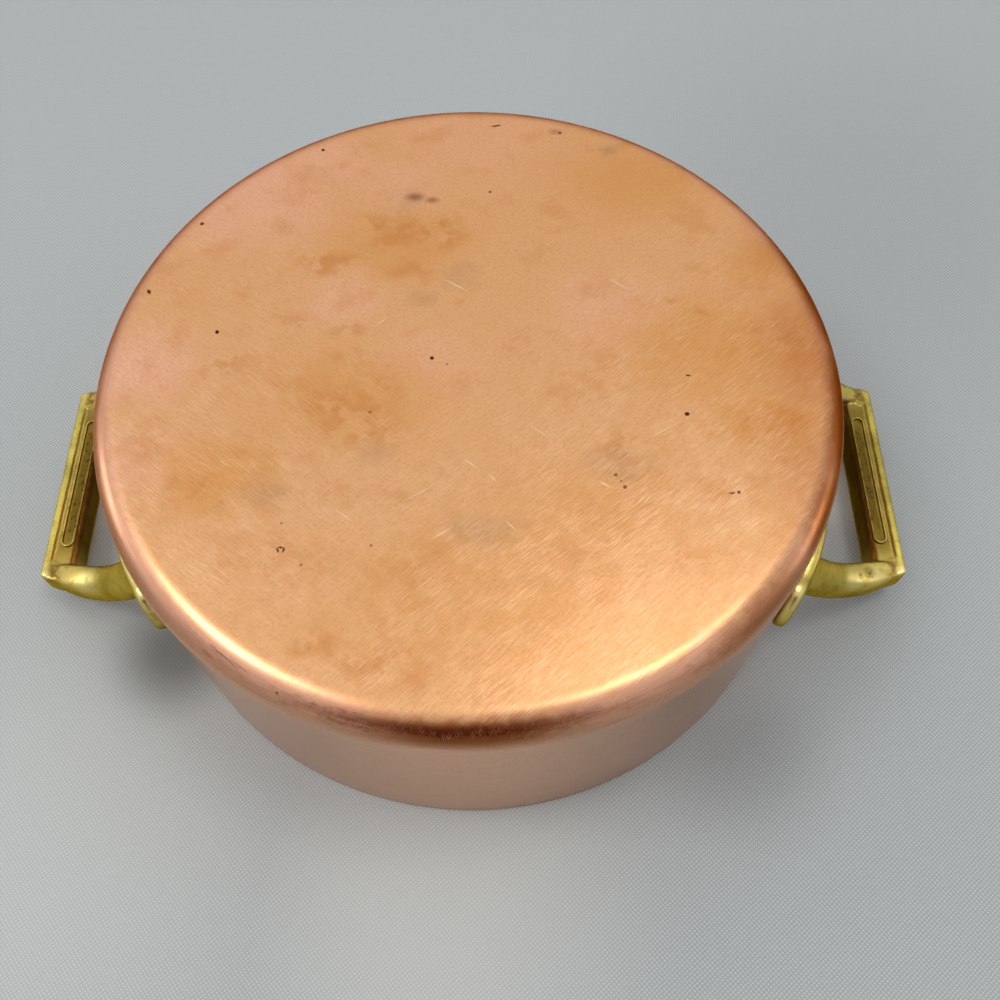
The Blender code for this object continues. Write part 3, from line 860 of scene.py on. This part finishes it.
def makeBrass():
    # Sand-cast brass, tumbled and handled: pale yellow on worn edges, olive on the arms,
    # brown where dirt stays, with a faint casting grain. Painted highlights lie on the arms' ridges,
    # the bar's ends and the pads, and a painted red-brown reflection of the copper wall on the
    # bar's inner slope.
    material, tree, shader, place = startMetal("castBrass", brassFinish["roughness"], brassFinish["edge"])
    loose = wander(tree, place, 2.5, 0.45)
    mirrored = addNode(tree, "VectorMath", {"operation": "ABSOLUTE"}, {0: loose})[0]
    clouds = addClouds(tree, place, 11, 0.4, 0.7)
    flecks = addClouds(tree, place, 1.3, 0.6, 0.72)
    stains = addClouds(tree, place, 3, 0.5, 0.68)
    recesses = {}
    for name, (middle, half) in barRecesses.items():
        off = addNode(tree, "VectorMath", {"operation": "SUBTRACT"}, {
            0: mirrored, 1: tuple(value * mm for value in middle),
        })[0]
        off = addNode(tree, "VectorMath", {"operation": "ABSOLUTE"}, {0: off})[0]
        off = addNode(tree, "VectorMath", {"operation": "DIVIDE"}, {
            0: off, 1: tuple(value * mm for value in half),
        })[0]
        axes = addNode(tree, "SeparateXYZ", {}, {0: off})
        recesses[name] = addNode(tree, "MapRange", {"interpolation_type": "SMOOTHSTEP"}, {
            "Value": joinMasks(tree, "MAXIMUM", *axes), "From Min": brassFinish["recessEdge"][0],
            "From Max": brassFinish["recessEdge"][1], "To Min": brassFinish["recessShare"], "To Max": 0.0,
        })[0]
    pitted = addSpots(tree, loose, 1, 0.3, pittedSpots)
    inPits = joinMasks(tree, "MULTIPLY", pitted, addClouds(tree, place, 0.8, 0.48, 0.6))
    ring = addNode(tree, "Math", {"operation": "SUBTRACT"}, {
        0: addSpots(tree, place, 1, 0.75, ((*ringMark, 1.5, 1),)),
        1: addSpots(tree, place, 1, 0.6, ((*ringMark, 1.0, 1),)),
    })[0]
    inPlate = joinMasks(tree, "MULTIPLY", recesses["plate"], addClouds(tree, place, 1.5, 0.46, 0.7))
    color = addLayers(tree, brassFinish, linearColor(brassFinish["base"]), (
        (recesses["lip"], "pale"),
        (recesses["trough"], "trough"),
        (recesses["bead"], "bright"),
        (recesses["step"], "olive"),
        (clouds, "olive", "cloudShare"),
        (stains, "olive", "stainShare"),
        # painted reflection of the copper wall on the bar's inner slope
        (recesses["slope"], "slopeReflection"),
        (recesses["troughEnd"], "brown"),
        (recesses["plate"], "dark"),
        (inPlate, "spot"),
        (flecks, "spot", "fleckShare"),
        (addSpots(tree, loose, 1, 0.1, stainsAndDarkerBar), "spot"),
        # painted highlights
        (addSpots(tree, loose, 1, 0.2, paintedHighlightSpots), "paintedHighlight"),
        (pitted, "brown"),
        (inPits, "spot"),
        (ring, "dark"),
    ))
    rough = addMottling(tree, brassFinish, stains)
    grain = addClouds(tree, place, 0.9, 0.2, 0.8)
    for hollow in (inPits, ring):
        grain = addNode(tree, "Math", {"operation": "MULTIPLY_ADD"}, {
            0: hollow, 1: -brassFinish["pitDepth"], 2: grain,
        })[0]
    finishMetal(tree, shader, color, rough, grain, brassFinish["grain"])
    return material


# Handles

barSizes = {
    "length": 66.8 * mm,
    "width": 10.0 * mm,
    "height": 9.0 * mm,
    "belowRim": 6.2 * mm,
    "lipWidth": 2.2 * mm,
    "lipHeight": 0.9 * mm,
    "lipSlope": 0.3 * mm,  # how far the lip's inner side leans
    "slopeStart": 6.5 * mm,  # above the underside, where the inner side starts to lean
    "slopeKnee": 2.9 * mm,
    "kneeLean": 0.9 * mm,
    "slopeLean": 2.0 * mm,
    "slopeLift": 0.25 * mm,
    "faceStart": 2.8 * mm,  # from the inner side to where the underside is flat
    "edgeRound": 0.5 * mm,
    "endRound": 1.0 * mm,  # its outer upright edges
}

plateSizes = {
    "length": 46.0 * mm,
    "width": 4.4 * mm,
    "rim": 0.75 * mm,
    "rise": 0.6 * mm,
    "root": 0.4 * mm,  # how deep it stands in the bar
    "edgeRound": 0.28 * mm,
    "fromEdge": 5.9 * mm,  # from the bar's outer face to the frame's middle line
}

armSizes = {
    "endWidth": 5.4 * mm,
    "midWidth": 9.6 * mm,
    "rootWidth": 11.0 * mm,
    "endHeight": 8.4 * mm,
    "rootHeight": 13.5 * mm,
    "rootRise": 2.0 * mm,
    "inset": 0.3 * mm,
    "swell": 0.35,
    "sections": 9,
    "leave": (0.31, 0.25, -0.08),
    "arrive": (0.31, 0.20, 0.68),
    "endCrease": 0.36,  # square section at the bar
    "rootCrease": 0.1,  # nearly oval at the pad
}

padSizes = {
    "turn": math.radians(23.8),
    "drop": 37.3 * mm,
    "length": 37.0 * mm,
    "height": 25.0 * mm,
    "thickness": 4.2 * mm,
    "gap": 0.3 * mm,
    "squareness": 0.14,
    "sides": 72,
    # share of the outline, and mm above the inner face: back, round the edge, over the crown
    "rings": (
        (0.3, 0), (0.6, 0), (0.85, 0), (0.97, 0), (0.99, 0.2), (1, 0.8), (1, 1.5), (0.993, 2.2),
        (0.975, 2.8), (0.94, 3.3), (0.88, 3.55), (0.78, 3.75), (0.62, 3.96), (0.42, 4.12), (0.2, 4.2),
    ),
}

castSizes = {
    "grain": 0.35 * mm,
    "smoothing": 14,
    "wave": 7 * mm,
    "waveHeight": 0.16 * mm,
    "drawIn": 0.5 * mm,  # smoothing draws the bar's corners in, so it starts this much further out
}

barOuter = handleReach + castSizes["drawIn"]
barTop = potHeight - barSizes["belowRim"]
barBottom = barTop - barSizes["height"]
padMiddle = potHeight - padSizes["drop"]
padSeat = potRadius + padSizes["gap"]


def makeBar():
    width, height, length = barSizes["width"], barSizes["height"], barSizes["length"]
    deselectAll()
    bpy.ops.mesh.primitive_plane_add(
        size=1, location=(barOuter - width / 2, -length / 2, barBottom + height / 2),
        rotation=(math.pi / 2, 0, 0),
    )
    bpy.context.object.scale = (width, height, 1)
    bar = startPiece("bar")
    barInner = barOuter - width
    face = barBottom + barSizes["lipHeight"]
    lipInner = barOuter - barSizes["lipWidth"]
    startEditing()
    for x in (barInner + barSizes["faceStart"], lipInner - barSizes["lipSlope"], lipInner):
        cutAt((x, 0, 0), (1, 0, 0))
    for z in (barBottom + barSizes["slopeStart"], barBottom + barSizes["slopeKnee"]):
        cutAt((0, 0, z), (0, 0, 1))
    pick(bar, "VERT", lambda p: p.co.z < barBottom + near and p.co.x < lipInner - near)
    bpy.ops.transform.translate(value=(0, 0, barSizes["lipHeight"]))
    knee = barBottom + barSizes["slopeKnee"]
    pick(bar, "VERT", lambda p: p.co.x < barInner + near and abs(p.co.z - knee) < near)
    bpy.ops.transform.translate(value=(barSizes["kneeLean"], 0, 0))
    pick(bar, "VERT", lambda p: p.co.x < barInner + near and abs(p.co.z - face) < near)
    bpy.ops.transform.translate(value=(barSizes["slopeLean"], 0, barSizes["slopeLift"]))
    bpy.ops.mesh.select_all(action="SELECT")
    bpy.ops.mesh.extrude_region_move(TRANSFORM_OT_translate={"value": (0, length, 0)})
    faceOutwards()
    pick(bar, "EDGE", lambda a, b: min(a.co.x, b.co.x) > barOuter - near
         and abs(a.co.y - b.co.y) < near)
    bpy.ops.mesh.bevel(offset=barSizes["endRound"], segments=3, affect="EDGES")
    endEditing()
    addModifier(bar, "BEVEL", width=barSizes["edgeRound"], segments=3, limit_method="ANGLE",
                angle_limit=math.radians(30))
    return bar


def makePlateFrame():
    deselectAll()
    endRound = plateSizes["width"] / 2 * 0.999  # just short of a half circle
    face = barBottom + barSizes["lipHeight"]
    bpy.ops.mesh.primitive_plane_add(
        size=1, location=(barOuter - plateSizes["fromEdge"], 0, face + plateSizes["root"]),
        rotation=(math.pi, 0, 0),
    )
    bpy.context.object.scale = (plateSizes["width"], plateSizes["length"], 1)
    plate = startPiece("plateFrame")
    startEditing()
    bpy.ops.mesh.bevel(offset=endRound, segments=10, affect="VERTICES")
    bpy.ops.mesh.select_all(action="SELECT")
    bpy.ops.mesh.remove_doubles(threshold=near)
    bpy.ops.mesh.inset(thickness=plateSizes["rim"])
    bpy.ops.mesh.delete(type="FACE")
    bpy.ops.mesh.select_all(action="SELECT")
    depth = plateSizes["root"] + plateSizes["rise"]
    bpy.ops.mesh.extrude_region_move(TRANSFORM_OT_translate={"value": (0, 0, -depth)})
    faceOutwards()
    endEditing()
    addModifier(plate, "BEVEL", width=plateSizes["edgeRound"], segments=4, limit_method="ANGLE",
                angle_limit=math.radians(50))
    return plate


def armCurve():
    start = Vector((
        barOuter - armSizes["inset"],
        barSizes["length"] / 2 - armSizes["inset"] - armSizes["endWidth"] / 2,
        (barTop + barBottom) / 2,
    ))
    reach = padSeat + padSizes["thickness"] / 2
    turn = padSizes["turn"]
    root = Vector((reach * math.cos(turn), reach * math.sin(turn), padMiddle + armSizes["rootRise"]))
    way = root - start
    leave = start + way * Vector(armSizes["leave"])
    arrive = root - way * Vector(armSizes["arrive"])
    return start, leave, arrive, root


def smoothStep(t):
    return t * t * (3 - 2 * t)


def makeArm(side):
    start, leave, arrive, root = armCurve()
    count = armSizes["sections"]
    sections = []
    for k in range(count):
        t = k / (count - 1)
        middle = start * (1 - t) ** 3 + leave * 3 * t * (1 - t) ** 2
        middle += arrive * 3 * t * t * (1 - t) + root * t ** 3
        width = armSizes["endWidth"]
        width += (armSizes["midWidth"] - width) * smoothStep(min(1, t / armSizes["swell"]))
        width += (armSizes["rootWidth"] - armSizes["midWidth"]) * t ** 3
        height = armSizes["endHeight"]
        height += (armSizes["rootHeight"] - height) * smoothStep(t)
        crease = armSizes["rootCrease"]
        crease += (armSizes["endCrease"] - crease) * (1 - t) ** 1.3
        growth = 1 / min(1, 0.915 + 0.9 * crease ** 2)  # what subdivision takes off
        sections.append((
            Vector((middle.x, side * middle.y, middle.z)), width * growth, height * growth,
            side * padSizes["turn"] * smoothStep(t), crease,
        ))
    middle, width, height = sections[0][:3]
    deselectAll()
    bpy.ops.mesh.primitive_plane_add(size=1, location=middle, rotation=(0, math.pi / 2, 0))
    bpy.context.object.scale = (height, width, 1)
    arm = startPiece("arm")
    startEditing()
    for last, new in zip(sections, sections[1:]):
        bpy.ops.mesh.extrude_region_move(TRANSFORM_OT_translate={"value": new[0] - last[0]})
        bpy.ops.transform.rotate(value=last[3], orient_axis="Z", center_override=new[0])
        bpy.ops.transform.resize(
            value=(1, new[1] / last[1], new[2] / last[2]), center_override=new[0]
        )
        bpy.ops.transform.rotate(value=-new[3], orient_axis="Z", center_override=new[0])
    faceOutwards()
    for k, section in enumerate(sections):
        # the edges from one square section to the next, and those of both end sections
        ends = k in (0, count - 1)
        wanted = ({k, k + 1}, {k} if ends else None)
        pick(arm, "EDGE", lambda a, b: {a.index // 4, b.index // 4} in wanted)
        bpy.ops.transform.edge_crease(value=1 if ends else section[4])
    endEditing()
    addModifier(arm, "SUBSURF", levels=3, render_levels=3)
    return arm


def makePad(side):
    deselectAll()
    bpy.ops.mesh.primitive_circle_add(
        vertices=padSizes["sides"], radius=1, fill_type="NGON", rotation=(math.pi / 2, 0, 0)
    )
    bpy.context.object.scale = (padSizes["length"] / 2, padSizes["height"] / 2, 1)
    pad = startPiece("pad")
    addModifier(pad, "CAST", cast_type="CUBOID", factor=padSizes["squareness"], use_y=False)
    startEditing()
    growth = padSizes["rings"][0][0]
    bpy.ops.transform.resize(value=(growth, 1, growth), center_override=(0, 0, 0))
    growRings(padSizes["rings"], Vector(), Vector((0, 1, 0)))
    faceOutwards()
    endEditing()
    addModifier(pad, "SIMPLE_DEFORM", deform_method="BEND", deform_axis="Z",
                angle=-padSizes["length"] / padSeat)
    pad.location = (0, padSeat, padMiddle)
    applyPlace()
    pad.rotation_euler = (0, 0, side * padSizes["turn"] - math.pi / 2)
    applyPlace()
    return pad


def makeCasting():
    print("handle casting")
    pieces = [makeBar()]
    for side in (-1, 1):
        pieces.append(makeArm(side))
        pieces.append(makePad(side))
    casting = joinPieces(pieces, "brassHandleRight")
    addModifier(casting, "REMESH", mode="VOXEL", voxel_size=castSizes["grain"], use_smooth_shade=True)
    addModifier(casting, "SMOOTH", factor=0.5, iterations=castSizes["smoothing"])
    clouds = bpy.data.textures.new("castingWave", "CLOUDS")
    clouds.noise_scale = castSizes["wave"]
    addModifier(casting, "DISPLACE", texture=clouds, texture_coords="LOCAL",
                strength=castSizes["waveHeight"], mid_level=0.5)
    return casting


rivetSizes = {
    "fromEnd": 6.5 * mm,
    "outerRadius": 3.4 * mm,
    "outerSeat": 0.36 * mm,  # its edge is this far under the pad's surface
    "padSlope": 0.3 * mm,  # which is this much lower at the rivets than at the pad's middle
    # share of the radius, and mm above the seat
    "outerRings": ((1, 0), (1, 0.12), (0.93, 0.22), (0.8, 0.3), (0.6, 0.37), (0.35, 0.42), (0.12, 0.44)),
    "innerRadius": 4.2 * mm,
    "innerRings": ((1, 0), (1, 0.3), (0.95, 0.62), (0.84, 0.95), (0.66, 1.24), (0.42, 1.43), (0.15, 1.5)),
    "sides": 48,
}


def makeRivetHead(name, seat, facing, radius, rings, turn):
    # a low dome grown ring by ring from its edge, standing on the seat; facing is 1 outwards
    deselectAll()
    bpy.ops.mesh.primitive_circle_add(
        vertices=rivetSizes["sides"], radius=radius, fill_type="NGON",
        location=(seat, 0, padMiddle), rotation=(0, facing * math.pi / 2, 0),
    )
    head = startPiece(name)
    startEditing()
    growRings(rings, Vector((seat, 0, padMiddle)), Vector((facing, 0, 0)))
    faceOutwards()
    endEditing()
    bpy.ops.object.shade_smooth_by_angle(angle=math.radians(60))
    head.rotation_euler = (0, 0, turn)
    applyPlace()
    return head


def makeRivets():
    print("rivets")
    steel = makeRivetSteel()
    step = (padSizes["length"] / 2 - rivetSizes["fromEnd"]) / padSeat
    outerSeat = padSeat + padSizes["thickness"] - rivetSizes["padSlope"] - rivetSizes["outerSeat"]
    innerSeat = potRadius - potSizes["wall"] - potSizes["gap"] - potSizes["lining"]
    heads = (
        ("outerHead", outerSeat, 1, rivetSizes["outerRadius"], rivetSizes["outerRings"]),
        ("innerHead", innerSeat, -1, rivetSizes["innerRadius"], rivetSizes["innerRings"]),
    )
    # the left handle is the right one turned half round, so its front arm is the right one's rear
    for handle, handleTurn, ends in (
        ("right", 0, ("front", "rear")), ("left", math.pi, ("rear", "front")),
    ):
        for end, side in zip(ends, (-1, 1)):
            for which, place in (("inner", -1), ("outer", 1)):
                turn = handleTurn + side * (padSizes["turn"] + place * step)
                node = f"{handle}_{end}_{which}_rivet"
                rivet = joinPieces([makeRivetHead(*head, turn) for head in heads], node + "Look")
                finishPiece(rivet, steel, node)


def makeHandles():
    casting = makeCasting()
    plate = makePlateFrame()
    right = joinPieces([casting, plate], "brassHandleRight")
    bpy.ops.object.shade_smooth_by_angle(angle=math.radians(50))
    selectOnly(right)
    bpy.ops.object.duplicate()
    bpy.context.object.rotation_euler = (0, 0, math.pi)
    left = startPiece("brassHandleLeft")
    brass = makeBrass()
    finishPiece(right, brass, "right_handle")
    finishPiece(left, brass, "left_handle")


makeStage()
makeWorld()
makeLamps()
makeCamera()
makePot()
makeHandles()
makeRivets()

bpy.context.scene.view_settings.view_transform = "Standard"
